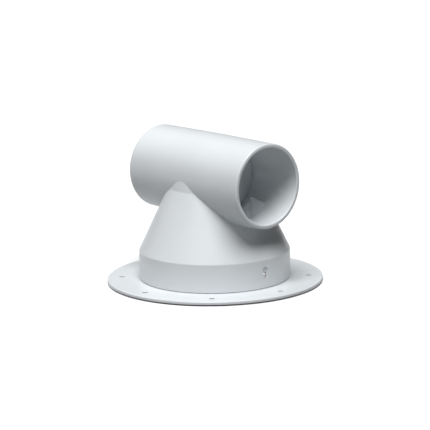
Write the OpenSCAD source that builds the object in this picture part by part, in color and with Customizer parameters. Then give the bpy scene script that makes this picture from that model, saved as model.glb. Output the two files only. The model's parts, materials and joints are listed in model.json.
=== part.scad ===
// Tee-shaped cowl vent for a boat deck: an open cross tube on a conical cowl that turns on a
// flanged deck ring. Units are millimetres. The origin is the centre of the underside, +Z is up
// and the cross tube lies along X.

/* [Deck ring] */
// Outside diameter of the deck flange
flange_d = 165; // [158:1:172]
// Thickness of the deck flange
flange_t = 2.4; // [2:0.1:3]
// Thickness of the foam bedding gasket under the flange
gasket_t = 1; // [0.8:0.1:1.5]
// Number of deck screw holes
hole_count = 8; // [4:1:12]
// Pitch circle diameter of the deck screw holes
hole_pcd = 143; // [138:1:147]
// Diameter of a deck screw hole
hole_d = 4.5; // [4:0.1:5.5]
// Angle from the cross tube to the first deck screw hole
hole_phase = 2; // [0:1:20]
// Outside diameter of the upstanding spigot
spigot_d = 105; // [104:0.5:105.5]
// Height of the spigot above the flange
spigot_h = 19; // [18.5:0.1:19.5]
// Wall thickness of the spigot
spigot_wall = 3; // [2.8:0.1:3.4]

/* [Cowl] */
// Outside diameter of the straight skirt
skirt_d = 115.5; // [115:0.1:116]
// Height of the crease between skirt and cone above the flange
crease_h = 21.8; // [21:0.1:22]
// Wall thickness of the cowl
cowl_wall = 2.4; // [2.2:0.1:2.6]
// Diameter of the cone where the short neck starts
neck_d = 68.8; // [68:0.1:69.5]
// Height of the neck's start above the flange
neck_h = 70.5; // [69:0.1:71]
// Height of the cross tube's axis above the flange
axis_h = 78.4; // [77:0.1:79]

/* [Cross tube] */
// Length of the cross tube
tube_len = 124; // [115:1:135]
// Outside diameter of the cross tube at its middle
tube_d = 65.2; // [64.6:0.1:65.6]
// Outside diameter of the cross tube at its mouths
mouth_d = 64.2; // [63.6:0.1:64.6]
// Bore diameter of the cross tube
bore_d = 57.8; // [57.4:0.1:58.6]
// Distance from the tube's middle to the inner edge of a floor port
port_in_x = 17.4; // [16:0.1:19]
// Distance from the tube's middle to the outer edge of a floor port
port_out_x = 35.2; // [34:0.1:36]
// Half width of a floor port at its inner edge
port_in_y = 23; // [22:0.1:23.5]
// Half width of a floor port at its outer edge
port_out_y = 21; // [20:0.1:21.4]
// Depth of the spout walls below the bore's lowest line
spout_drop = 12; // [8:0.5:14]

/* [Baffle cups] */
// Distance from the tube's middle to the outer face of a baffle cup
cup_face_x = 12.5; // [11:0.1:15]
// Wall thickness of a baffle cup
cup_wall = 1.8; // [1.5:0.1:2.2]

/* [Lock screws] */
// Thread diameter of a lock screw
screw_d = 4; // [3.8:0.1:4.2]
// Height of the lock screws above the flange
screw_h = 10.3; // [10:0.1:10.8]
// Depth of the oblong recess in the skirt
recess_depth = 1; // [0.8:0.1:1.1]
// Height of the oblong recess
recess_len = 8.6; // [8:0.1:9]

/* [Insect screen] */
// Distance between neighbouring screen bars
screen_pitch = 6; // [5:0.5:9]
// Width of a screen bar
screen_bar = 1.2; // [1:0.1:1.6]
// Thickness of the screen
screen_t = 1.2; // [1:0.1:1.5]

/* [Hidden] */
$fn = 96;

// Clearances
turn_gap = 0.4;      // radial gap between the spigot and the cowl's ribs
foot_gap = 0.3;      // gap under the skirt's foot
bond_gap = 0.05;     // glue line between bonded mouldings
thread_gap = 0.05;   // radial gap of a lock screw in its bush
eps = 0.02;          // overshoot that keeps cuts clean

// Heights above the underside
flange_top = gasket_t + flange_t;
foot_z = flange_top + foot_gap;
spigot_top = flange_top + spigot_h;
crease_z = flange_top + crease_h;
neck_z = flange_top + neck_h;
axis_z = flange_top + axis_h;
screw_z = flange_top + screw_h;

// Deck ring details
ledge_r = 46.5;                  // hole through the flange, inside the screen's ledge
spigot_in_r = spigot_d / 2 - spigot_wall;
lock_groove_w = 5.2;
lock_groove_t = 1.2;
seal_groove_w = 4;
seal_groove_t = 1;
seal_z = spigot_top - 3;
rim_chamfer = 0.4;
gasket_inset = 2;

// Cowl details
skirt_in_r = skirt_d / 2 - cowl_wall;
cone_slope = (skirt_d / 2 - neck_d / 2) / (neck_z - crease_z);
cone_wall_x = cowl_wall * sqrt(1 + cone_slope * cone_slope);
inner_crease_z = crease_z - (cone_wall_x - cowl_wall) / cone_slope;
rib_r = spigot_d / 2 + turn_gap;
rib_w = 2;
rib_foot = foot_z + 0.5;
rib_top = seal_z - seal_groove_w / 2 - 1.6;
rib_count = 12;
pad_w = 12;

// Lock screw details
recess_w = screw_d + 0.6;
recess_floor = skirt_d / 2 - recess_depth;
bush_d = screw_d + 2.6;
bush_out = recess_floor - 0.75;
screw_out = recess_floor + 0.6;
screw_in = spigot_d / 2 - 0.9;
driver_slot_w = 0.8;
driver_slot_t = 1.1;

// Turns a child by 180 degrees about the vertical axis to serve the opposite side
module both_sides() {
    for (a = [0, 180]) rotate([0, 0, a]) children();
}

// A cylinder along X from x1 to x2, centred on height z
module rod_x(r1, r2, x1, x2, z) {
    translate([x1, 0, z]) rotate([0, 90, 0]) cylinder(r1 = r1, r2 = r2, h = x2 - x1);
}

module hole_circle(d, z1, z2) {
    for (i = [0 : hole_count - 1])
        rotate([0, 0, hole_phase + i * 360 / hole_count])
            translate([hole_pcd / 2, 0, z1]) cylinder(d = d, h = z2 - z1);
}

// Foam ring that beds the flange on the deck
module bedding_gasket() {
    color("dimgray") difference() {
        cylinder(d = flange_d - 2 * gasket_inset, h = gasket_t);
        translate([0, 0, -1]) cylinder(r = ledge_r + 1, h = gasket_t + 2);
        hole_circle(hole_d + 0.5, -1, gasket_t + 1);
    }
}

// Flange with an upstanding spigot, grooved outside for the lock screws and the seal
module deck_ring() {
    flange_r = flange_d / 2;
    color("white") difference() {
        rotate_extrude() polygon([
            [ledge_r, gasket_t], [flange_r, gasket_t], [flange_r, flange_top - rim_chamfer],
            [flange_r - rim_chamfer, flange_top], [spigot_d / 2, flange_top],
            [spigot_d / 2, screw_z - lock_groove_w / 2],
            [spigot_d / 2 - lock_groove_t, screw_z - lock_groove_w / 2],
            [spigot_d / 2 - lock_groove_t, screw_z + lock_groove_w / 2],
            [spigot_d / 2, screw_z + lock_groove_w / 2],
            [spigot_d / 2, seal_z - seal_groove_w / 2],
            [spigot_d / 2 - seal_groove_t, seal_z - seal_groove_w / 2],
            [spigot_d / 2 - seal_groove_t, seal_z + seal_groove_w / 2],
            [spigot_d / 2, seal_z + seal_groove_w / 2],
            [spigot_d / 2, spigot_top], [spigot_in_r, spigot_top],
            [spigot_in_r, flange_top], [ledge_r, flange_top]]);
        hole_circle(hole_d, 0, flange_top + 1);
    }
}

// Moulded grid that lies on the ledge inside the spigot
module insect_screen() {
    screen_r = spigot_in_r - 0.3;
    open_r = ledge_r;
    cells = floor(open_r / screen_pitch);
    cell = screen_pitch - screen_bar;
    color("gainsboro") translate([0, 0, flange_top]) linear_extrude(screen_t) difference() {
        circle(screen_r);
        intersection() {
            circle(open_r);
            for (i = [-cells : cells], j = [-cells : cells])
                if (norm([i, j]) * screen_pitch < open_r - 0.3 * screen_pitch)
                    translate([i * screen_pitch, j * screen_pitch]) square(cell, center = true);
        }
    }
}

// Ring that holds the screen down on its ledge
module screen_retainer() {
    ring_h = 3;
    color("white") translate([0, 0, flange_top + screen_t]) difference() {
        cylinder(r = spigot_in_r - 0.1, h = ring_h);
        translate([0, 0, -1]) cylinder(r = ledge_r + 0.4, h = ring_h + 2);
    }
}

// Rubber ring in the spigot's upper groove
module seal_ring() {
    section_r = 1.7;
    color("black") translate([0, 0, seal_z]) rotate_extrude()
        translate([spigot_d / 2 - seal_groove_t + section_r + bond_gap, 0]) circle(section_r);
}

// Outer surface of the cross tube, drafted from the middle to both mouths
module tube_outside(gap) {
    both_sides() rod_x(tube_d / 2 + gap, mouth_d / 2 + gap, 0, tube_len / 2, axis_z);
}

// Oblong pocket and threaded-bush seat for one lock screw
module lock_pocket() {
    low = screw_z;
    high = screw_z + recess_len - recess_w;
    translate([recess_floor, 0, 0]) {
        for (z = [low, high]) rod_x(recess_w / 2, recess_w / 2, 0, 3, z);
        translate([0, -recess_w / 2, low]) cube([3, recess_w, high - low]);
    }
    rod_x(screw_d / 2 + 0.3, screw_d / 2 + 0.3, rib_r - 2, recess_floor + eps, screw_z);
    rod_x(bush_d / 2, bush_d / 2, rib_r - 2, bush_out, screw_z);
}

// Ribs that centre the skirt on the spigot, with a wider pad behind each lock screw
module skirt_ribs() {
    for (i = [0 : rib_count - 1]) {
        width = i % (rib_count / 2) == 0 ? pad_w : rib_w;
        rotate([0, 0, i * 360 / rib_count])
            translate([rib_r - 1, -width / 2, rib_foot])
                cube([skirt_in_r - rib_r + 1.8, width, rib_top - rib_foot]);
    }
}

// Skirt, cone and neck in one shell, cut to a saddle that the cross tube lies in
module cowl_body() {
    neck_top = axis_z - 0.8;
    neck_top_r = tube_d / 2 + 0.3;
    skirt_r = skirt_d / 2;
    color("white") difference() {
        union() {
            rotate_extrude() polygon([
                [skirt_in_r, foot_z], [skirt_r, foot_z], [skirt_r, crease_z],
                [neck_d / 2, neck_z], [neck_top_r, neck_top], [neck_top_r - cone_wall_x, neck_top],
                [neck_d / 2 - cone_wall_x, neck_z], [skirt_in_r, inner_crease_z]]);
            difference() {
                skirt_ribs();
                translate([0, 0, foot_z - 1]) cylinder(r = rib_r, h = crease_z);
            }
        }
        tube_outside(bond_gap);
        both_sides() lock_pocket();
    }
}

// Outline of the port in the tube's floor on the +X side, widened on all sides by grow
module port_outline(grow) {
    polygon([
        [port_in_x - grow, -port_in_y - grow], [port_out_x + grow, -port_out_y - grow],
        [port_out_x + grow, port_out_y + grow], [port_in_x - grow, port_in_y + grow]]);
}

// Space inside the cone that the spouts may fill
module cone_inside() {
    clear = 0.3;
    top_r = neck_d / 2 - cone_wall_x - clear;
    low_r = skirt_in_r - clear;
    translate([0, 0, inner_crease_z]) cylinder(r1 = low_r, r2 = top_r, h = neck_z - inner_crease_z);
}

// Open tube with two ports in its floor, each with a short spout that hangs below it
module cross_tube() {
    spout_z = axis_z - bore_d / 2 - spout_drop;
    spout_wall = 1.8;
    spout_h = axis_z - spout_z;
    color("white") difference() {
        union() {
            tube_outside(0);
            intersection() {
                both_sides() translate([0, 0, spout_z]) linear_extrude(spout_h) port_outline(spout_wall);
                cone_inside();
            }
        }
        rod_x(bore_d / 2, bore_d / 2, -tube_len / 2 - 1, tube_len / 2 + 1, axis_z);
        both_sides() translate([0, 0, spout_z - 1]) linear_extrude(spout_h + 1) port_outline(0);
    }
}

// Shallow cup pushed in from the +X mouth until it meets its twin in the middle
module baffle_cup() {
    cup_r = bore_d / 2 - 0.1;
    meet_x = 0.1;
    color("white") difference() {
        rod_x(cup_r, cup_r, meet_x, cup_face_x, axis_z);
        rod_x(cup_r - cup_wall, cup_r - cup_wall, meet_x - 1, cup_face_x - cup_wall, axis_z);
    }
}

module baffle_cup_front() {
    baffle_cup();
}

module baffle_cup_rear() {
    rotate([0, 0, 180]) baffle_cup();
}

// Threaded brass bush behind the lock screw on the +X side
module screw_bush() {
    color("goldenrod") difference() {
        rod_x(bush_d / 2, bush_d / 2, rib_r + 0.1, bush_out, screw_z);
        rod_x(screw_d / 2 + thread_gap, screw_d / 2 + thread_gap, rib_r - 1, bush_out + 1, screw_z);
    }
}

module screw_bush_front() {
    screw_bush();
}

module screw_bush_rear() {
    rotate([0, 0, 180]) screw_bush();
}

// Slotted set screw along +X whose tip runs in the spigot's groove
module lock_screw() {
    tip = 0.8;
    color("silver") difference() {
        union() {
            rod_x(screw_d / 2, screw_d / 2, screw_in + tip, screw_out, screw_z);
            rod_x(screw_d / 2 - tip, screw_d / 2, screw_in, screw_in + tip, screw_z);
        }
        translate([screw_out - driver_slot_t, -driver_slot_w / 2, screw_z - screw_d])
            cube([driver_slot_t + 1, driver_slot_w, 2 * screw_d]);
    }
}

module lock_screw_front() {
    lock_screw();
}

module lock_screw_rear() {
    rotate([0, 0, 180]) lock_screw();
}

bedding_gasket();
deck_ring();
insect_screen();
screen_retainer();
seal_ring();
cowl_body();
cross_tube();
baffle_cup_front();
baffle_cup_rear();
screw_bush_front();
screw_bush_rear();
lock_screw_front();
lock_screw_rear();
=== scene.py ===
"""The looks of a tee-shaped cowl vent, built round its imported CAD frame.

Everything is in metres in the CAD frame: +Z up, the cross tube along X, the deck at z = 0.
Sizes come from the frame's boxes and mounts, and the rest are named in millimetres below.
"""

import json
import math

import bmesh
import bpy
import numpy as np
from mathutils import Matrix, Vector
from mathutils.geometry import delaunay_2d_cdt

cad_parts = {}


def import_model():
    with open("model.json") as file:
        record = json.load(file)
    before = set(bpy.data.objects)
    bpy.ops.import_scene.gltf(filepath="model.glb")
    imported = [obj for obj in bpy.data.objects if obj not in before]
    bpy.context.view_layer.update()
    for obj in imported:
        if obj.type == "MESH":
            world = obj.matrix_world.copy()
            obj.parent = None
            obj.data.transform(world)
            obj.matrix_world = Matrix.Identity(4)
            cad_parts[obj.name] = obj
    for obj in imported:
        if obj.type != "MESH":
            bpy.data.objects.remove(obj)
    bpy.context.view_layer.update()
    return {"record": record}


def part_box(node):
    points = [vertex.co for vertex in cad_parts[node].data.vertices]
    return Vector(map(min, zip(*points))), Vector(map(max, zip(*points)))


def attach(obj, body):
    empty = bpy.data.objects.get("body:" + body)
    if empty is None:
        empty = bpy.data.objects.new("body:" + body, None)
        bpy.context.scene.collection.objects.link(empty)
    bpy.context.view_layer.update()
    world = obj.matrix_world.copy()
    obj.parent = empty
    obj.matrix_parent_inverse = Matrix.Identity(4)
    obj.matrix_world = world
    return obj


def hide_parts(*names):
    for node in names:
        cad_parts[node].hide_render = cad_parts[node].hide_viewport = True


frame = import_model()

mm = 0.001
COLUMNS = 360


# ---------------------------------------------------------------- dimensions from the frame

mounts = {m["name"]: m for m in frame["record"]["mounts"]}
screws = mounts["deck_screws"]
ring_low, ring_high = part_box("deck_ring")
cowl_low, cowl_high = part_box("cowl_body")
tube_low, tube_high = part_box("cross_tube")
gasket_low, gasket_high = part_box("bedding_gasket")
screen_low, screen_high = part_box("insect_screen")
keeper_low, keeper_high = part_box("screen_retainer")
seal_low, seal_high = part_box("seal_ring")
cup_low, cup_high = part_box("baffle_cup_front")
bush_low, bush_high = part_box("screw_bush_front")
lock_low, lock_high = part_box("lock_screw_front")

flange_r = ring_high.x
flange_top = screws["pos_m"][2]
hole_circle_r = screws["dims"]["pcd_mm"] / 2 * mm
hole_r = screws["dims"]["hole_r_mm"] * mm
hole_count = screws["dims"]["count"]
hole_phase = 2                                  # degrees from the cross tube, as the record says

skirt_r = cowl_high.x
tube_r = tube_high.y
tube_end = tube_high.x
axis_z = tube_high.z - tube_r
lock_z = (lock_low.z + lock_high.z) / 2
lock_r = (lock_high.y - lock_low.y) / 2
bush_r = (bush_high.y - bush_low.y) / 2

# ---------------------------------------------------------------- dimensions inside the nodes

wall = 2.4 * mm                                 # the cowl's wall
crease_z = 25.2 * mm                            # where the skirt meets the cone
neck_r = 34.4 * mm                              # where the cone meets the neck
neck_z = 73.9 * mm
mouth_r = 32.1 * mm                             # the cross tube's outside at its mouths
bore_r = 28.9 * mm
port_near = 17.4 * mm                           # the floor port, from the tube's middle
port_far = 35.2 * mm
port_near_y = 23 * mm
port_far_y = 21 * mm
spout_wall = 1.8 * mm
spigot_r = 52.5 * mm
spigot_in_r = 49.5 * mm
ledge_r = 46.5 * mm
recess_r = 2.3 * mm                             # the oblong recess's half width
recess_rise = 4 * mm                            # between the centres of its round ends
recess_depth = 1 * mm


# ---------------------------------------------------------------- mesh tools

def rounded(points, steps=4):
    """A closed outline of (across, up, radius) corners, with each corner rounded by its radius."""
    outline = []
    for i, (across, up, radius) in enumerate(points):
        corner = Vector((across, up))
        if radius == 0:
            outline.append(corner)
            continue
        back = (Vector(points[i - 1][:2]) - corner).normalized()
        ahead = (Vector(points[(i + 1) % len(points)][:2]) - corner).normalized()
        half = back.angle(ahead) / 2
        centre = corner + (back + ahead).normalized() * radius / math.sin(half)
        start = corner + back * radius / math.tan(half) - centre
        end = corner + ahead * radius / math.tan(half) - centre
        sweep = start.angle(end)
        for k in range(steps + 1):
            share = k / steps
            outline.append(centre + (start * math.sin((1 - share) * sweep)
                                     + end * math.sin(share * sweep)) / math.sin(sweep))
    return outline


def turned(outline, columns=COLUMNS, phase=0.0):
    """One loop of points round the Z axis for each (radius, height) of an outline."""
    turn = np.linspace(0, 2 * math.pi, columns, endpoint=False) + phase
    return [np.stack([r * np.cos(turn), r * np.sin(turn), 0 * turn + z], 1) for r, z in outline]


def weave(bm, loops, closed=True, keep=None):
    """Quads between neighbouring loops of points. Returns the grid of vertices."""
    grid = [[bm.verts.new(p) for p in loop] for loop in loops]
    for i in range(len(grid) if closed else len(grid) - 1):
        low, high = grid[i], grid[(i + 1) % len(grid)]
        for j in range(len(low)):
            k = (j + 1) % len(low)
            if keep is None or keep(i, j):
                bm.faces.new((low[j], low[k], high[k], high[j]))
    return grid


def span(first, last):
    """Whole numbers from first towards last, without last, in either direction."""
    return range(first, last, 1 if last > first else -1)


def rim(grid, row_a, row_b, col_a, col_b):
    """The vertices round a rectangular window in a grid, in order."""
    def at(row, col):
        return grid[row % len(grid)][col % len(grid[0])]
    return ([at(row_a, c) for c in span(col_a, col_b)] + [at(r, col_b) for r in span(row_a, row_b)]
            + [at(row_b, c) for c in span(col_b, col_a)] + [at(r, col_a) for r in span(row_b, row_a)])


def tunnel(bm, first, loops, last):
    """Quads from a rim through loops of points to another rim."""
    rings = [first] + [[bm.verts.new(p) for p in loop] for loop in loops] + [last]
    for low, high in zip(rings, rings[1:]):
        for j in range(len(low)):
            k = (j + 1) % len(low)
            bm.faces.new((low[j], low[k], high[k], high[j]))


def row_of(outline, across, up):
    """The index of the outline's point nearest to a place."""
    place = Vector((across, up))
    return min(range(len(outline)), key=lambda i: (Vector(outline[i]) - place).length)


def along_x(bm, z=None):
    """Turns a shape made round Z so that it lies along +X at height z."""
    height = axis_z if z is None else z
    for v in bm.verts:
        v.co = Vector((v.co.z, v.co.y, height - v.co.x))


def piece(name, bm, body, material, nodes, sharp=35, normals=True):
    """Closes a mesh off as an object that rides on a body and stands for CAD nodes."""
    bmesh.ops.recalc_face_normals(bm, faces=bm.faces)
    mesh = bpy.data.meshes.new(name)
    bm.to_mesh(mesh)
    bm.free()
    mesh.shade_smooth()
    mesh.set_sharp_from_angle(angle=math.radians(sharp))
    obj = bpy.data.objects.new(name, mesh)
    bpy.context.scene.collection.objects.link(obj)
    obj.data.materials.append(material)
    if normals:
        weighted = obj.modifiers.new("normals", "WEIGHTED_NORMAL")
        weighted.keep_sharp = True
    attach(obj, body)
    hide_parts(*nodes)
    return obj


def settle(items, place):
    """Sorts vertices or faces by place, so that every run gives the same order."""
    order = {item: i for i, item in enumerate(sorted(items, key=place))}
    items.sort(key=lambda item: order[item])


def opposite(bm):
    """Turns a shape half way round Z, to serve the rear."""
    bmesh.ops.rotate(bm, verts=bm.verts, matrix=Matrix.Rotation(math.pi, 3, "Z"))


# ---------------------------------------------------------------- the deck ring and its gasket

hole_rows = [hole_circle_r + k * 1.25 * mm for k in range(-4, 5)]


def drilled_ring(outline, low_z, high_z, radius, edge):
    """A turned ring with the circle of deck screw holes let through it between two heights."""
    loops = turned(outline, phase=math.radians(hole_phase))
    half = 4
    inner, outer = hole_rows[0], hole_rows[-1]
    top_in, top_out = row_of(outline, inner, high_z), row_of(outline, outer, high_z)
    low_in, low_out = row_of(outline, inner, low_z), row_of(outline, outer, low_z)
    step = COLUMNS // hole_count
    windows = [sorted((top_in, top_out)), sorted((low_in, low_out))]

    def keep(row, col):
        inside = any(a <= row < b for a, b in windows)
        return not (inside and (col + half) % step < 2 * half)

    bm = bmesh.new()
    grid = weave(bm, loops, keep=keep)
    for i in range(hole_count):
        turn = math.radians(hole_phase + i * 360 / hole_count)
        out = Vector((math.cos(turn), math.sin(turn), 0))
        side = Vector((-math.sin(turn), math.cos(turn), 0))
        centre = out * hole_circle_r
        top = rim(grid, top_in, top_out, i * step - half, i * step + half)
        low = rim(grid, low_in, low_out, i * step - half, i * step + half)
        ways = [(v.co - centre).to_3d() for v in top]
        ways = [(w - Vector((0, 0, w.z))).normalized() for w in ways]

        def loop(r, z):
            return [centre + w * r + Vector((0, 0, z)) for w in ways]

        steps = [(1 - math.sin(a), 1 - math.cos(a)) for a in np.linspace(0, math.pi / 2, 5)]
        down = [loop(radius + 2.2 * edge, high_z)]
        down += [loop(radius + edge * a, high_z - edge * b) for a, b in steps]
        up = [loop(radius + edge * a, low_z + edge * b) for a, b in steps]
        tunnel(bm, top, down + up[::-1], low)
    return bm


def deck_ring(material):
    """Flange, spigot, and the grooves for the lock screws and the seal."""
    low, high = ring_low.z, flange_top
    groove_low, groove_high = lock_z - 2.6 * mm, lock_z + 2.6 * mm
    groove_r = spigot_r - 1.2 * mm
    seal_z = (seal_low.z + seal_high.z) / 2
    seat_low, seat_high = seal_z - 2 * mm, seal_z + 2 * mm
    seat_r = spigot_r - 1 * mm
    fine = 0.2 * mm
    corners = [(ledge_r, low, 0.4 * mm)]
    corners += [(r, low, 0) for r in hole_rows]
    corners += [(flange_r - 1.2 * mm, low, 0), (flange_r, low, 0.35 * mm), (flange_r, high, 0.8 * mm)]
    corners += [(flange_r - 2 * mm, high, 0)]
    corners += [(r, high, 0) for r in hole_rows[::-1]]
    corners += [(spigot_r + 3 * mm, high, 0), (spigot_r, high, 1.2 * mm)]
    corners += [(spigot_r, groove_low, fine), (groove_r, groove_low, fine)]
    corners += [(groove_r, groove_high, fine), (spigot_r, groove_high, fine)]
    corners += [(spigot_r, seat_low, fine), (seat_r, seat_low, fine)]
    corners += [(seat_r, seat_high, fine), (spigot_r, seat_high, fine)]
    corners += [(spigot_r, ring_high.z, 0.8 * mm), (spigot_in_r, ring_high.z, 0.5 * mm)]
    corners += [(spigot_in_r, high, 0.3 * mm), (ledge_r, high, 0.4 * mm)]
    outline = rounded(corners)
    bm = drilled_ring(outline, low, high, hole_r, 0.3 * mm)
    return piece("ring_moulding", bm, "deck", material, ["deck_ring"])


def bedding_gasket(material):
    """Foam ring, a little bulged at its edges."""
    low, high = gasket_low.z, gasket_high.z
    inner, outer = ledge_r + 1 * mm, gasket_high.x
    soft = 0.35 * mm
    corners = [(inner, low, soft), *[(r, low, 0) for r in hole_rows], (outer, low, soft)]
    corners += [(outer, high, soft), *[(r, high, 0) for r in hole_rows[::-1]], (inner, high, soft)]
    bm = drilled_ring(rounded(corners), low, high, hole_r + 0.25 * mm, 0.15 * mm)
    return piece("foam_gasket", bm, "deck", material, ["bedding_gasket"])


# ---------------------------------------------------------------- the cowl

cone_run = Vector((neck_r - skirt_r, neck_z - crease_z))
cone_way = cone_run.normalized()
neck_way = Vector((tube_r - neck_r, axis_z - neck_z)).normalized()


def tube_radius(x):
    """The cross tube's outside radius, drafted from the middle to both mouths."""
    return tube_r + (mouth_r - tube_r) * np.abs(x) / tube_end


def side_line(s, inset):
    """Radius, height and outward normal at distances s up the cone and neck from the crease."""
    on_neck = s > cone_run.length
    past = s - cone_run.length
    r = np.where(on_neck, neck_r + past * neck_way.x, skirt_r + s * cone_way.x)
    z = np.where(on_neck, neck_z + past * neck_way.y, crease_z + s * cone_way.y)
    normal_r = np.where(on_neck, neck_way.y, cone_way.y)
    normal_z = np.where(on_neck, -neck_way.x, -cone_way.x)
    return r - inset, z, normal_r, normal_z


def saddle(turn, inset, ball):
    """How far up the side line a ball of that radius, rolling on it, meets the cross tube."""
    s = np.linspace(4 * mm, cone_run.length + 10 * mm, 4000)[None, :]
    r, z, normal_r, normal_z = side_line(s, inset)
    r, z = r + ball * normal_r, z + ball * normal_z
    x, y = r * np.cos(turn)[:, None], r * np.sin(turn)[:, None]
    gap = np.hypot(y, z - axis_z) - tube_radius(x) - ball
    first = np.argmax(gap < 0, axis=1)
    rows = np.arange(len(turn))
    before, after = gap[rows, first - 1], gap[rows, first]
    return s[0, first - 1] + (s[0, first] - s[0, first - 1]) * before / (before - after)


def side_loop(turn, s, inset):
    """One loop of points at distances s up the side line, set in by inset."""
    r, z, _, _ = side_line(s, inset)
    return np.stack([r * np.cos(turn), r * np.sin(turn), z], 1)


def oblong(angle, grow):
    """Distance from the lower centre of the oblong recess to its edge, moved out by grow."""
    w = recess_r + grow
    up, across = math.sin(angle), abs(math.cos(angle))
    if up <= 0:
        return w
    if w * up <= recess_rise * across:
        return w / across
    return recess_rise * up + math.sqrt(w * w - (recess_rise * across) ** 2)


def lock_recess(bm, outer, inner, turn):
    """The oblong recess with its screw hole and bush seat, from the outer to the inner rim."""
    def flat(v):
        side = math.atan2(v.co.y, v.co.x) - turn
        side = math.atan2(math.sin(side), math.cos(side))
        return side * skirt_r, v.co.z - lock_z

    angles = [math.atan2(v, u) for u, v in map(flat, outer)]

    def loop(reach, depth):
        points = []
        for a in angles:
            far = reach(a)
            way = turn + far * math.cos(a) / skirt_r
            r = skirt_r - depth
            points.append((r * math.cos(way), r * math.sin(way), lock_z + far * math.sin(a)))
        return points

    edge, foot = 0.35 * mm, 0.15 * mm
    seat_depth = skirt_r - bush_high.x
    hole = lock_r + 0.12 * mm
    quarter = np.linspace(0, math.pi / 2, 5)
    loops = [loop(lambda a: oblong(a, 0.9 * mm), 0)]
    for q in quarter:
        loops.append(loop(lambda a: oblong(a, edge * (1 - math.sin(q))), edge * (1 - math.cos(q))))
    for q in quarter:
        loops.append(loop(lambda a: oblong(a, -foot * (1 - math.cos(q))),
                          recess_depth - foot * (1 - math.sin(q))))
    loops.append(loop(lambda a: hole, recess_depth))
    loops.append(loop(lambda a: hole, seat_depth))
    loops.append(loop(lambda a: bush_r, seat_depth))
    loops.append(loop(lambda a: bush_r, wall))
    tunnel(bm, outer, loops, inner)


def outer_loops(turn, lead, reach):
    """Loops up the outside of the cone and neck, close together at the corner between them."""
    close = 0.5 * mm
    corner = np.minimum(cone_run.length, reach - 3 * close)
    shares = [0, 0.02] + list(np.linspace(0.06, 1, 26))
    loops = [side_loop(turn, lead + (corner - close - lead) * f, 0) for f in shares]
    loops += [side_loop(turn, corner, 0), side_loop(turn, corner + close, 0)]
    past = corner + close
    loops += [side_loop(turn, past + (reach - past) * f, 0) for f in (0.25, 0.5, 0.75, 1.0)]
    return loops


def fillet_loops(turn, reach, ball):
    """Loops round the fillet that the rolling ball leaves, from the side line to the cross tube."""
    r, z, normal_r, normal_z = side_line(reach, 0)
    touch = np.stack([r * np.cos(turn), r * np.sin(turn), z], 1)
    normal = np.stack([normal_r * np.cos(turn), normal_r * np.sin(turn), normal_z], 1)
    middle = touch + ball * normal
    to_axis = np.stack([0 * turn, -middle[:, 1], axis_z - middle[:, 2]], 1)
    to_axis /= np.linalg.norm(to_axis, axis=1)[:, None]
    start, end = -normal, to_axis
    sweep = np.arccos(np.clip((start * end).sum(1), -1, 1))[:, None]
    loops = []
    for share in (0.25, 0.5, 0.75, 1.0):
        way = (start * np.sin((1 - share) * sweep) + end * np.sin(share * sweep)) / np.sin(sweep)
        loops.append(middle + ball * way)
    return loops


def inner_loops(turn):
    """Loops down the inside of the cone and neck, from the cross tube to the skirt."""
    cone_wall = wall / cone_way.y
    reach = saddle(turn, cone_wall, 0)
    start = (cone_wall - wall) / -cone_way.x
    return [side_loop(turn, start + (reach - start) * f, cone_wall) for f in np.linspace(1, 0, 16)]


def skirt_outline(window, bend, lead, crease_round):
    """The skirt's outside from its foot up to the round crease under the cone."""
    foot, in_r = cowl_low.z, skirt_r - wall
    corners = [(in_r, foot, 0.5 * mm), (skirt_r, foot, 0.5 * mm), (skirt_r, window[0] - 2 * mm, 0)]
    corners += [(skirt_r, z, 0) for z in window]
    centre = Vector((skirt_r - crease_round, crease_z - lead))
    bends = np.linspace(0, bend, 6)[:-1]
    return rounded(corners) + [centre + crease_round * Vector((math.cos(a), math.sin(a))) for a in bends]


def cowl_body(material):
    """Skirt, cone and neck in one wall, ending on the cross tube in a small fillet."""
    turn = np.linspace(0, 2 * math.pi, COLUMNS, endpoint=False)
    ball, crease_round = 0.9 * mm, 2.0 * mm
    bend = math.atan2(-cone_way.x, cone_way.y)
    lead = crease_round * math.tan(bend / 2)
    window = [lock_z + k * mm for k in range(-5, 10)]
    in_r = skirt_r - wall

    lower = skirt_outline(window, bend, lead, crease_round)
    reach = saddle(turn, 0, ball)
    inner = [(in_r, z) for z in window[::-1]] + [(in_r, window[0] - 2 * mm)]
    loops = turned(lower) + outer_loops(turn, lead, reach) + fillet_loops(turn, reach, ball)
    loops += inner_loops(turn) + turned(inner)

    first = row_of(lower, skirt_r, window[0])
    last = first + len(window) - 1
    in_last = len(loops) - len(inner)
    in_first = in_last + len(window) - 1
    half = 5

    def keep(row, col):
        near = (col + half) % (COLUMNS // 2) < 2 * half
        return not (near and (first <= row < last or in_last <= row < in_first))

    bm = bmesh.new()
    grid = weave(bm, loops, keep=keep)
    for middle_col, angle in ((0, 0.0), (COLUMNS // 2, math.pi)):
        outer = rim(grid, first, last, middle_col - half, middle_col + half)
        inside = rim(grid, in_first, in_last, middle_col - half, middle_col + half)
        lock_recess(bm, outer, inside, angle)
    return piece("cowl_moulding", bm, "cowl", material, ["cowl_body"])


# ---------------------------------------------------------------- the cross tube

FLOOR_COLUMNS, OTHER_COLUMNS = 24, 176


def port_half_width(x, grow):
    """Half the floor port's width at x, moved out by grow. It narrows towards the mouth."""
    share = np.clip((abs(x) - port_near) / (port_far - port_near), 0, 1)
    return port_near_y + (port_far_y - port_near_y) * share + grow


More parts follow.
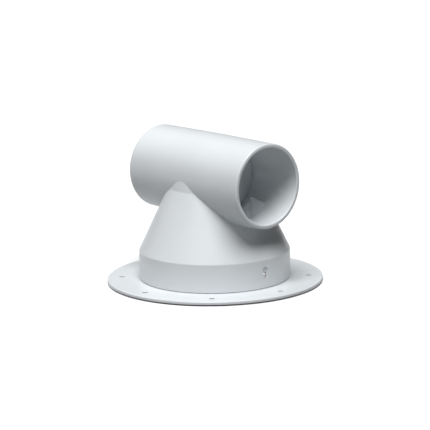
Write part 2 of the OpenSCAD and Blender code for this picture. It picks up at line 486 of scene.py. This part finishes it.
def tube_loop(x, r, grow):
    """Points round the tube at x, with the first columns across the port in its floor."""
    edge = port_half_width(x, grow)
    across = np.linspace(-edge, edge, FLOOR_COLUMNS + 1)[:-1]
    floor = np.stack([0 * across + x, across, axis_z - np.sqrt(r * r - across ** 2)], 1)
    tip = math.asin(edge / r)
    turn = np.linspace(tip, 2 * math.pi - tip, OTHER_COLUMNS + 1)[:-1]
    rest = np.stack([0 * turn + x, r * np.sin(turn), axis_z - r * np.cos(turn)], 1)
    return np.concatenate([floor, rest])


def tube_stations(end, grow):
    """Places along the tube from one lip to the other, with some on the ports' edges."""
    near, far = port_near - grow, port_far + grow
    stops = [(-end, 12), (-far, 14), (-near, 16), (near, 14), (far, 12), (end, 0)]
    stations = []
    for (start, steps), (stop, _) in zip(stops, stops[1:]):
        stations += list(np.linspace(start, stop, steps + 1)[:-1])
    return stations + [end]


def port_rows(stations, first_row, side, grow):
    """The rows at a port's edge nearest to the tube's middle and at its far edge."""
    edges = (side * (port_near - grow), side * (port_far + grow))
    return tuple(first_row + int(np.argmin([abs(x - e) for x in stations])) for e in edges)


def cross_tube(material):
    """Drafted tube with round lips, and a spout under each of the two floor ports."""
    lip_out, lip_in, soft = 1.3 * mm, 0.8 * mm, 0.5 * mm
    inner_grow, outer_grow = soft, spout_wall + soft
    out_x = tube_stations(tube_end - 1.6 * lip_out, outer_grow)
    in_x = tube_stations(tube_end - 1.6 * lip_in, inner_grow)[::-1]
    corners = [(tube_end, mouth_r, lip_out), (tube_end, bore_r, lip_in), (0, bore_r, 0), (0, tube_r, 0)]
    lip_steps = 5
    lip = rounded(corners, lip_steps)[:2 * (lip_steps + 1)]
    loops = [tube_loop(x, tube_radius(x), outer_grow) for x in out_x]
    loops += [tube_loop(x, r, outer_grow) for x, r in lip]
    loops += [tube_loop(x, bore_r, inner_grow) for x in in_x]
    loops += [tube_loop(-x, r, outer_grow) for x, r in lip[::-1]]

    inner_row = len(out_x) + len(lip)
    doors = [(port_rows(out_x, 0, side, outer_grow), port_rows(in_x, inner_row, side, inner_grow))
             for side in (1, -1)]
    shut = [tuple(sorted(w)) for door in doors for w in door]

    def keep(row, col):
        return not (col < FLOOR_COLUMNS and any(a <= row < b for a, b in shut))

    bm = bmesh.new()
    grid = weave(bm, loops, keep=keep)
    for outer, inner in doors:
        inside = rim(grid, inner[0], inner[1], 0, FLOOR_COLUMNS)
        outside = rim(grid, outer[0], outer[1], 0, FLOOR_COLUMNS)
        down = spout_loops(inside, soft, -1)
        up = spout_loops(outside, soft, 1)
        tunnel(bm, inside, down + up[::-1], outside)
    return piece("tube_moulding", bm, "cowl", material, ["cross_tube"])


def spout_loops(ring, soft, way):
    """Loops from a rim down one face of a spout. The way is 1 on its outside and -1 on its inside."""
    middle = sum(v.co.x for v in ring) / len(ring)
    wide = max(abs(v.co.x - middle) for v in ring)
    deep = max(abs(v.co.y) for v in ring)

    def loop(offset, height):
        return [(middle + (v.co.x - middle) * (wide + offset) / wide, v.co.y * (deep + offset) / deep,
                 height(v.co.z)) for v in ring]

    quarter = np.linspace(0, math.pi / 2, 5)
    foot = tube_low.z
    loops = [loop(-soft * math.sin(a), lambda z, a=a: z - soft * (1 - math.cos(a))) for a in quarter[1:]]
    for share in (0.33, 0.67):
        loops.append(loop(-soft, lambda z, f=share: (z - soft) * (1 - f) + (foot + soft) * f))
    for a in quarter:
        offset = -soft - way * soft * (1 - math.cos(a))
        loops.append(loop(offset, lambda z, a=a: foot + soft * (1 - math.sin(a))))
    return loops


def baffle_cup(name, node, material, rear):
    """Shallow cup with a soft-edged face."""
    r = bore_r - 0.1 * mm
    face, back = cup_high.x, cup_low.x
    thick = 1.8 * mm
    corners = [(0, face, 0), (r - 3 * mm, face, 0), (r, face, 0.7 * mm), (r, back, 0.3 * mm)]
    corners += [(r - thick, back, 0.3 * mm), (r - thick, face - thick, 1 * mm), (0, face - thick, 0)]
    outline = rounded(corners)
    bm = bmesh.new()
    weave(bm, turned(outline, columns=180), closed=False)
    bmesh.ops.remove_doubles(bm, verts=bm.verts, dist=0.001 * mm)
    along_x(bm)
    if rear:
        opposite(bm)
    return piece(name, bm, "cowl", material, [node])


# ---------------------------------------------------------------- screen, retainer and seal

def insect_screen(material):
    """Moulded grid: square cells with soft corners in a round plate."""
    pitch, bar, corner = 6 * mm, 1.2 * mm, 0.5 * mm
    half = (pitch - bar) / 2
    reach = int(ledge_r / pitch)
    cells = [(i, j) for i in range(-reach, reach + 1) for j in range(-reach, reach + 1)
             if math.hypot(i, j) * pitch < ledge_r - 0.3 * pitch]
    square = rounded([(half, half, corner), (-half, half, corner), (-half, -half, corner),
                      (half, -half, corner)], steps=2)
    turn = np.linspace(0, 2 * math.pi, 180, endpoint=False)
    rings = [[Vector((screen_high.x * math.cos(t), screen_high.x * math.sin(t))) for t in turn]]
    rings += [[Vector((i * pitch, j * pitch)) + p for p in square] for i, j in cells]
    points, edges = [], []
    for ring in rings:
        base = len(points)
        points += ring
        edges += [(base + k, base + (k + 1) % len(ring)) for k in range(len(ring))]
    inside_outline, tolerance = 1, 1e-7
    made = delaunay_2d_cdt(points, edges, [], inside_outline, tolerance)
    open_cells = set(cells)
    bm = bmesh.new()
    verts = [bm.verts.new((p.x, p.y, screen_low.z)) for p in made[0]]
    for tri in made[2]:
        middle = sum((made[0][k] for k in tri), Vector((0, 0))) / len(tri)
        cell = (round(middle.x / pitch), round(middle.y / pitch))
        inside = max(abs(middle.x - cell[0] * pitch), abs(middle.y - cell[1] * pitch)) < half
        if not (inside and cell in open_cells):
            bm.faces.new([verts[k] for k in tri])
    bmesh.ops.delete(bm, geom=[v for v in bm.verts if not v.link_faces], context="VERTS")
    grown = bmesh.ops.extrude_face_region(bm, geom=bm.faces[:])
    lift = Vector((0, 0, screen_high.z - screen_low.z))
    lifted = [g for g in grown["geom"] if isinstance(g, bmesh.types.BMVert)]
    bmesh.ops.translate(bm, vec=lift, verts=lifted)
    settle(bm.verts, lambda v: v.co[:])
    settle(bm.faces, lambda f: f.calc_center_median()[:])
    return piece("screen_grid", bm, "deck", material, ["insect_screen"])


def screen_retainer(material):
    """Flat ring with soft upper edges that holds the screen down."""
    low, high = keeper_low.z, keeper_high.z
    inner, outer = ledge_r + 0.4 * mm, keeper_high.x
    corners = [(inner, low, 0.2 * mm), (outer, low, 0.2 * mm), (outer, high, 0.5 * mm)]
    corners += [(inner, high, 0.9 * mm)]
    bm = bmesh.new()
    weave(bm, turned(rounded(corners)))
    return piece("retaining_ring", bm, "deck", material, ["screen_retainer"])


def seal_ring(material):
    """Rubber ring of round section with the fine flash line of its mould."""
    section = (seal_high.z - seal_low.z) / 2
    middle_r, middle_z = seal_high.x - section, (seal_low.z + seal_high.z) / 2
    flash = 0.05 * mm
    outline = []
    for a in np.linspace(0, 2 * math.pi, 48, endpoint=False):
        r = section - flash + flash * abs(math.cos(a)) ** 40
        outline.append((middle_r + r * math.cos(a), middle_z + r * math.sin(a)))
    bm = bmesh.new()
    weave(bm, turned(outline))
    return piece("rubber_seal", bm, "deck", material, ["seal_ring"])


# ---------------------------------------------------------------- lock screws and bushes

THREAD_PITCH = 0.7 * mm
THREAD_DEPTH = 0.3 * mm


def thread_loops(start, end, radius, depth, columns, fade):
    """Loops along Z whose radius follows a vee thread, from the crest towards depth."""
    count = max(2, round((end - start) / (THREAD_PITCH / 8)))
    turn = np.linspace(0, 2 * math.pi, columns, endpoint=False)
    loops = []
    for z in np.linspace(start, end, count + 1):
        phase = (z / THREAD_PITCH - turn / (2 * math.pi)) % 1
        vee = 1 - np.abs(2 * phase - 1)
        near = min(1, (z - start) / fade, (end - z) / fade)
        r = radius + depth * near * vee
        loops.append(np.stack([r * np.cos(turn), r * np.sin(turn), 0 * turn + z], 1))
    return loops


def lock_screw(name, node, body, material, rear):
    """Slotted set screw with a cone tip."""
    tip, chamfer, columns = 0.8 * mm, 0.25 * mm, 48
    start, end = lock_low.x, lock_high.x
    bm = bmesh.new()
    loops = turned([(lock_r - tip, start)], columns)
    loops += thread_loops(start + tip, end - chamfer, lock_r, -THREAD_DEPTH, columns, 0.3 * mm)
    loops += turned([(lock_r - chamfer, end)], columns)
    grid = weave(bm, loops, closed=False)
    bm.faces.new(grid[0][::-1])
    bm.faces.new(grid[-1])
    along_x(bm, lock_z)
    slot_w, slot_t = 0.8 * mm, 1.1 * mm
    screw = cut(bm, Vector((end, 0, lock_z)), Vector((2 * slot_t, slot_w, 4 * lock_r)))
    if rear:
        opposite(screw)
    return piece(name, screw, body, material, [node], sharp=28, normals=False)


def cut(bm, centre, size):
    """The mesh with a box taken out of it."""
    bmesh.ops.recalc_face_normals(bm, faces=bm.faces)
    whole, box = bpy.data.meshes.new("whole"), bpy.data.meshes.new("box")
    bm.to_mesh(whole)
    bm.free()
    cutter = bmesh.new()
    bmesh.ops.create_cube(cutter, size=1)
    for v in cutter.verts:
        v.co = centre + Vector((v.co.x * size.x, v.co.y * size.y, v.co.z * size.z))
    cutter.to_mesh(box)
    cutter.free()
    body, tool = (bpy.data.objects.new(m.name, m) for m in (whole, box))
    for o in (body, tool):
        bpy.context.scene.collection.objects.link(o)
    away = body.modifiers.new("slot", "BOOLEAN")
    away.operation, away.object, away.solver = "DIFFERENCE", tool, "EXACT"
    result = bmesh.new()
    result.from_object(body, bpy.context.evaluated_depsgraph_get())
    for o in (body, tool):
        bpy.data.objects.remove(o)
    return result


def screw_bush(name, node, material, rear):
    """Knurled brass bush with an inside thread."""
    columns, ridges = 96, 24
    start, end = bush_low.x, bush_high.x
    turn = np.linspace(0, 2 * math.pi, columns, endpoint=False)
    knurl = 0.12 * mm * np.abs(np.sin(turn * ridges / 2))
    outer = []
    for z, depth in ((start, 1), (start + 0.3 * mm, 0), (end - 0.3 * mm, 0), (end, 1)):
        r = bush_r - knurl - 0.25 * mm * depth
        outer.append(np.stack([r * np.cos(turn), r * np.sin(turn), 0 * turn + z], 1))
    inner = thread_loops(start, end, lock_r + 0.05 * mm, THREAD_DEPTH, columns, 0.3 * mm)
    bm = bmesh.new()
    weave(bm, outer + inner[::-1])
    along_x(bm, lock_z)
    if rear:
        opposite(bm)
    return piece(name, bm, "cowl", material, [node], sharp=28, normals=False)


# ---------------------------------------------------------------- materials

class Shader:
    """A small builder of node materials on object coordinates."""

    def __init__(self, name):
        self.material = bpy.data.materials.new(name)
        self.material.use_nodes = True
        self.tree = self.material.node_tree
        self.bsdf = self.tree.nodes["Principled BSDF"]
        self.place = self.add("ShaderNodeTexCoord").outputs["Object"]

    def add(self, kind, **settings):
        """A new node of that kind, with its settings."""
        node = self.tree.nodes.new(kind)
        for key, value in settings.items():
            setattr(node, key, value)
        return node

    def link(self, source, target):
        """Joins an output to an input."""
        self.tree.links.new(source, target)

    def set(self, **values):
        """Sets sockets of the shader, with underscores for the spaces in their names."""
        for key, value in values.items():
            self.bsdf.inputs[key.replace("_", " ")].default_value = value

    def noise(self, size, detail=3, roughness=0.5, stretch=(1, 1, 1)):
        """Noise from 0 to 1 whose features are about size metres across."""
        mapping = self.add("ShaderNodeMapping")
        mapping.inputs["Scale"].default_value = [s / size for s in stretch]
        self.link(self.place, mapping.inputs["Vector"])
        noise = self.add("ShaderNodeTexNoise")
        noise.inputs["Scale"].default_value = 1
        noise.inputs["Detail"].default_value = detail
        noise.inputs["Roughness"].default_value = roughness
        self.link(mapping.outputs["Vector"], noise.inputs["Vector"])
        return noise.outputs["Fac"]

    def cells(self, size, randomness=1.0):
        """Distance to the nearest cell centre, for pores about size metres across."""
        mapping = self.add("ShaderNodeMapping")
        mapping.inputs["Scale"].default_value = [1 / size] * 3
        self.link(self.place, mapping.inputs["Vector"])
        cells = self.add("ShaderNodeTexVoronoi")
        cells.inputs["Scale"].default_value = 1
        cells.inputs["Randomness"].default_value = randomness
        self.link(mapping.outputs["Vector"], cells.inputs["Vector"])
        return cells.outputs["Distance"]

    def remap(self, source, low, high, to_low, to_high):
        """Stretches low to high onto to_low to to_high."""
        node = self.add("ShaderNodeMapRange")
        values = (low, high, to_low, to_high)
        for key, value in zip(("From Min", "From Max", "To Min", "To Max"), values):
            node.inputs[key].default_value = value
        self.link(source, node.inputs["Value"])
        return node.outputs["Result"]

    def colour(self, source, stops):
        """A colour ramp with stops of (place, (r, g, b))."""
        ramp = self.add("ShaderNodeValToRGB")
        elements = ramp.color_ramp.elements
        while len(elements) < len(stops):
            elements.new(0.5)
        for element, (place, rgb) in zip(elements, stops):
            element.position = place
            element.color = (*rgb, 1)
        self.link(source, ramp.inputs["Fac"])
        return ramp.outputs["Color"]

    def bump(self, source, height, below=None):
        """Adds relief of that height in metres on top of an earlier bump."""
        node = self.add("ShaderNodeBump")
        node.inputs["Distance"].default_value = height
        node.inputs["Strength"].default_value = 1
        self.link(source, node.inputs["Height"])
        if below is not None:
            self.link(below, node.inputs["Normal"])
        return node.outputs["Normal"]

    def finish(self, colour=None, roughness=None, normal=None):
        """Joins what was made to the shader and returns the material."""
        for key, source in (("Base Color", colour), ("Roughness", roughness), ("Normal", normal)):
            if source is not None:
                self.link(source, self.bsdf.inputs[key])
        return self.material


def white_plastic(name, tint, rough):
    """Glossy white moulding: faint flow clouds, a fine peel and soft changes of gloss."""
    s = Shader(name)
    s.set(IOR=1.49)
    clouds = s.noise(38 * mm, detail=4)
    low = tuple(c * 0.972 for c in tint)
    colour = s.colour(clouds, [(0.35, low), (0.65, tint)])
    rubs = s.noise(6 * mm, detail=5, roughness=0.6, stretch=(1, 1, 0.4))
    roughness = s.remap(rubs, 0.3, 0.7, rough - 0.03, rough + 0.06)
    peel = s.bump(s.noise(2.2 * mm, detail=2), 0.004 * mm)
    return s.finish(colour, roughness, peel)


def rubber(name):
    """Black rubber with a fine grain."""
    s = Shader(name)
    s.set(IOR=1.5)
    colour = s.colour(s.noise(3 * mm, detail=5), [(0.3, (0.012, 0.012, 0.013)), (0.8, (0.03, 0.03, 0.031))])
    roughness = s.remap(s.noise(1.2 * mm, detail=4), 0.3, 0.7, 0.42, 0.62)
    return s.finish(colour, roughness, s.bump(s.noise(0.3 * mm), 0.004 * mm))


def foam(name):
    """Closed-cell foam with pores of two sizes, with painted shade in the hollows of the larger pores."""
    s = Shader(name)
    pores = s.cells(0.75 * mm)
    # The colour darkens towards each larger pore's middle, where the coarse bump sinks in: painted shade in
    # the pore hollows.
    colour = s.colour(pores, [(0.1, (0.018, 0.018, 0.02)), (0.55, (0.075, 0.076, 0.08))])
    roughness = s.remap(s.noise(2 * mm), 0.3, 0.7, 0.8, 0.95)
    coarse = s.bump(pores, 0.12 * mm)
    return s.finish(colour, roughness, s.bump(s.cells(0.3 * mm), 0.03 * mm, below=coarse))


def turned_metal(name, dark, light, rough):
    """Metal with the fine rings that a lathe leaves across the X axis."""
    s = Shader(name)
    s.set(Metallic=1.0)
    rings = s.noise(0.12 * mm, detail=2, stretch=(1, 0.04, 0.04))
    colour = s.colour(s.noise(1.5 * mm, detail=4), [(0.3, dark), (0.7, light)])
    roughness = s.remap(rings, 0.3, 0.7, rough - 0.07, rough + 0.1)
    return s.finish(colour, roughness, s.bump(rings, 0.002 * mm))


def pale_floor(name):
    """Near-white floor with broad, faint clouds."""
    s = Shader(name)
    colour = s.colour(s.noise(0.6, detail=3), [(0.3, (0.86, 0.865, 0.87)), (0.7, (0.9, 0.9, 0.9))])
    return s.finish(colour, s.remap(s.noise(0.01), 0.3, 0.7, 0.75, 0.85))


# ---------------------------------------------------------------- build

cowl_plastic = white_plastic("white_cowl", (0.66, 0.69, 0.71), 0.33)
ring_plastic = white_plastic("white_ring", (0.66, 0.69, 0.71), 0.33)
screen_plastic = white_plastic("satin_screen", (0.62, 0.63, 0.63), 0.45)
black_rubber = rubber("black_rubber")
grey_foam = foam("grey_foam")
brass = turned_metal("turned_brass", (0.62, 0.43, 0.16), (0.78, 0.58, 0.26), 0.37)
steel = turned_metal("turned_steel", (0.52, 0.52, 0.53), (0.7, 0.7, 0.71), 0.36)

bedding_gasket(grey_foam)
deck_ring(ring_plastic)
insect_screen(screen_plastic)
screen_retainer(ring_plastic)
seal_ring(black_rubber)
cowl_body(cowl_plastic)
cross_tube(cowl_plastic)
baffle_cup("front_cup", "baffle_cup_front", cowl_plastic, rear=False)
baffle_cup("rear_cup", "baffle_cup_rear", cowl_plastic, rear=True)
screw_bush("front_bush", "screw_bush_front", brass, rear=False)
screw_bush("rear_bush", "screw_bush_rear", brass, rear=True)
lock_screw("front_set_screw", "lock_screw_front", "lock_front", steel, rear=False)
lock_screw("rear_set_screw", "lock_screw_rear", "lock_rear", steel, rear=True)


# ---------------------------------------------------------------- floor, lights and camera

def floor(material):
    """A plain round floor, a hair under the gasket."""
    bm = bmesh.new()
    drop = 0.02 * mm
    outline = [(r, -drop) for r in (0.0, 0.2, 1.0, 3.0, 12.0)]
    weave(bm, turned(outline, columns=96), closed=False)
    bmesh.ops.remove_doubles(bm, verts=bm.verts, dist=0.001 * mm)
    bmesh.ops.recalc_face_normals(bm, faces=bm.faces)
    mesh = bpy.data.meshes.new("floor")
    bm.to_mesh(mesh)
    bm.free()
    obj = bpy.data.objects.new("floor", mesh)
    bpy.context.scene.collection.objects.link(obj)
    obj.data.materials.append(material)
    # The world's glow from below stands in for the light that a floor would bounce.
    obj.visible_diffuse = False
    obj.visible_shadow = False


def soft_sun(name, azimuth, elevation, spread, strength):
    """A far, soft light. Azimuth 0 is on the -Y side and 90 on +X; spread is its width in degrees."""
    a, e = math.radians(azimuth), math.radians(elevation)
    way = Vector((math.sin(a) * math.cos(e), -math.cos(a) * math.cos(e), math.sin(e)))
    light = bpy.data.lights.new(name, "SUN")
    light.angle = math.radians(spread)
    light.energy = strength
    obj = bpy.data.objects.new(name, light)
    obj.location = way * 2
    obj.rotation_mode = "QUATERNION"
    obj.rotation_quaternion = way.to_track_quat("Z", "Y")
    bpy.context.scene.collection.objects.link(obj)


def light_below(name, width, below, energy):
    """A soft disc under the throat, so that the chamber and the floor ports aren't black inside."""
    light = bpy.data.lights.new(name, "AREA")
    light.shape = "DISK"
    light.size = width
    light.energy = energy
    obj = bpy.data.objects.new(name, light)
    obj.location = (0, 0, -below)
    obj.rotation_euler = (math.pi, 0, 0)
    obj.visible_camera = False
    bpy.context.scene.collection.objects.link(obj)


def camera():
    """The photograph's viewpoint: 49 degrees round from the -Y side and 12 degrees up."""
    azimuth, elevation, roll = map(math.radians, (49.1, 12.26, -0.99))
    aim, distance = Vector((0, 0, 44.65)) * mm, 1.7416
    back = Vector((math.sin(azimuth) * math.cos(elevation),
                   -math.cos(azimuth) * math.cos(elevation), math.sin(elevation)))
    level = Vector((0, 0, 1)).cross(back).normalized()
    upright = back.cross(level)
    right = math.cos(roll) * level + math.sin(roll) * upright
    up = math.cos(roll) * upright - math.sin(roll) * level
    data = bpy.data.cameras.new("camera")
    data.lens, data.sensor_width = 190.9, 36
    data.shift_x, data.shift_y = 0.0019, 0.019
    data.clip_start, data.clip_end = 0.05, 50
    obj = bpy.data.objects.new("camera", data)
    turn = Matrix((right, up, back)).transposed().to_4x4()
    obj.matrix_world = Matrix.Translation(aim + back * distance) @ turn
    bpy.context.scene.collection.objects.link(obj)
    bpy.context.scene.camera = obj


def world(below, backdrop):
    """A dim glow from below, and a pale backdrop where the camera sees past the floor."""
    made = bpy.data.worlds.new("world")
    made.use_nodes = True
    tree = made.node_tree
    output = tree.nodes["World Output"]
    glow = tree.nodes["Background"]
    glow.inputs["Strength"].default_value = below
    pale = tree.nodes.new("ShaderNodeBackground")
    pale.inputs["Color"].default_value = (backdrop, backdrop, backdrop, 1)
    place = tree.nodes.new("ShaderNodeTexCoord")
    split = tree.nodes.new("ShaderNodeSeparateXYZ")
    low = tree.nodes.new("ShaderNodeMath")
    low.operation = "LESS_THAN"
    low.inputs[1].default_value = 0
    seen = tree.nodes.new("ShaderNodeLightPath")
    mix = tree.nodes.new("ShaderNodeMixShader")
    tree.links.new(place.outputs["Generated"], split.inputs[0])
    tree.links.new(split.outputs["Z"], low.inputs[0])
    tree.links.new(low.outputs[0], glow.inputs["Color"])
    tree.links.new(seen.outputs["Is Camera Ray"], mix.inputs["Fac"])
    tree.links.new(glow.outputs[0], mix.inputs[1])
    tree.links.new(pale.outputs[0], mix.inputs[2])
    tree.links.new(mix.outputs[0], output.inputs["Surface"])
    bpy.context.scene.world = made


floor(pale_floor("floor"))
world(below=0.23, backdrop=1.0)
soft_sun("key", azimuth=48, elevation=69, spread=36, strength=3.75)
soft_sun("front_fill", azimuth=18, elevation=45, spread=40, strength=0.55)
soft_sun("left_fill", azimuth=275, elevation=42, spread=60, strength=0.52)
soft_sun("back_fill", azimuth=190, elevation=42, spread=60, strength=0.2)
light_below("light_below", width=90 * mm, below=2 * mm, energy=0.065)
camera()
bpy.context.scene.view_settings.view_transform = "Standard"
